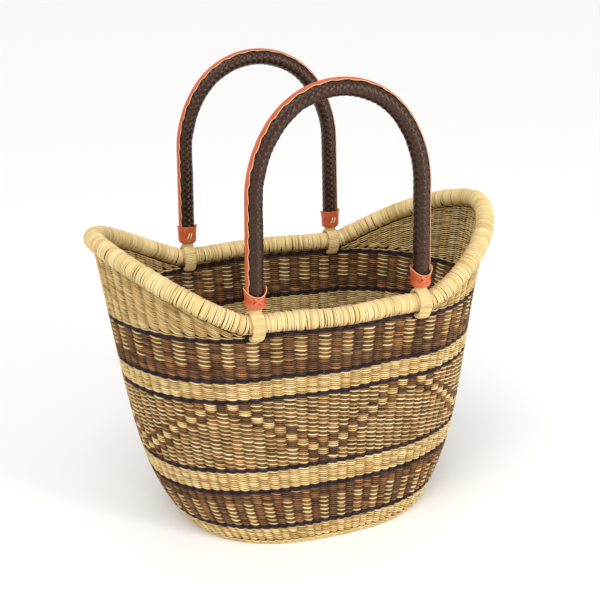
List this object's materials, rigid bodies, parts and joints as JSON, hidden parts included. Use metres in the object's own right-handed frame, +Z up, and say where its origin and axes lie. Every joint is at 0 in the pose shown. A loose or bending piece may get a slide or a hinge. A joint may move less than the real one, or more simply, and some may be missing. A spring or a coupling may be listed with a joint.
{
  "type": "woven market basket",
  "caption": "Woven grass market basket with dyed bands, a long boat-shaped rim and two tall arched leather-covered handles that swing on the rim.",
  "frame": {"origin": "middle of the underside of the base", "axes": "+Z up, X along the rim from tip to tip, -Y towards the front handle"},
  "size_m": [0.4292, 0.2694, 0.4633],
  "materials": {
    "natural_grass": "satin",
    "brown_grass": "satin",
    "two_tone_grass": "satin",
    "black_grass": "satin",
    "stake_grass": "satin",
    "wrapping_straw": "satin",
    "brown_leather": "gloss",
    "orange_leather": "satin"
  },
  "bodies": {
    "basket": {"base_disc": "natural_grass", "stakes": "stake_grass", "foot_band": "natural_grass", "lower_dark_band": "brown_grass", "lower_natural_band": "natural_grass", "zigzag_band": "two_tone_grass", "upper_natural_band": "natural_grass", "upper_dark_band": "brown_grass", "left_wing": "natural_grass", "right_wing": "natural_grass", "rim_bed": "natural_grass", "foot_line": "black_grass", "lower_dark_line": "black_grass", "lower_zigzag_line": "black_grass", "upper_zigzag_line": "black_grass", "upper_dark_line": "black_grass", "rim_line": "black_grass", "rim_core": "stake_grass", "rim_wrap": "wrapping_straw"},
    "front_handle": {"front_handle_core": "stake_grass", "front_sleeve": "brown_leather", "front_edging": "orange_leather", "front_left_collar": "orange_leather", "front_right_collar": "orange_leather", "front_left_tie": "orange_leather", "front_right_tie": "orange_leather", "front_left_loop": "wrapping_straw", "front_right_loop": "wrapping_straw"},
    "back_handle": {"back_handle_core": "stake_grass", "back_sleeve": "brown_leather", "back_edging": "orange_leather", "back_left_collar": "orange_leather", "back_right_collar": "orange_leather", "back_left_tie": "orange_leather", "back_right_tie": "orange_leather", "back_left_loop": "wrapping_straw", "back_right_loop": "wrapping_straw"}
  },
  "joints": [
    {"name": "front_handle_swing", "type": "hinge", "parent": "basket", "child": "front_handle", "pos_m": [0, -0.116, 0.243], "axis": [1, 0, 0], "range_deg": [-27, 60]},
    {"name": "back_handle_swing", "type": "hinge", "parent": "basket", "child": "back_handle", "pos_m": [0, 0.116, 0.243], "axis": [-1, 0, 0], "range_deg": [-27, 60]}
  ]
}
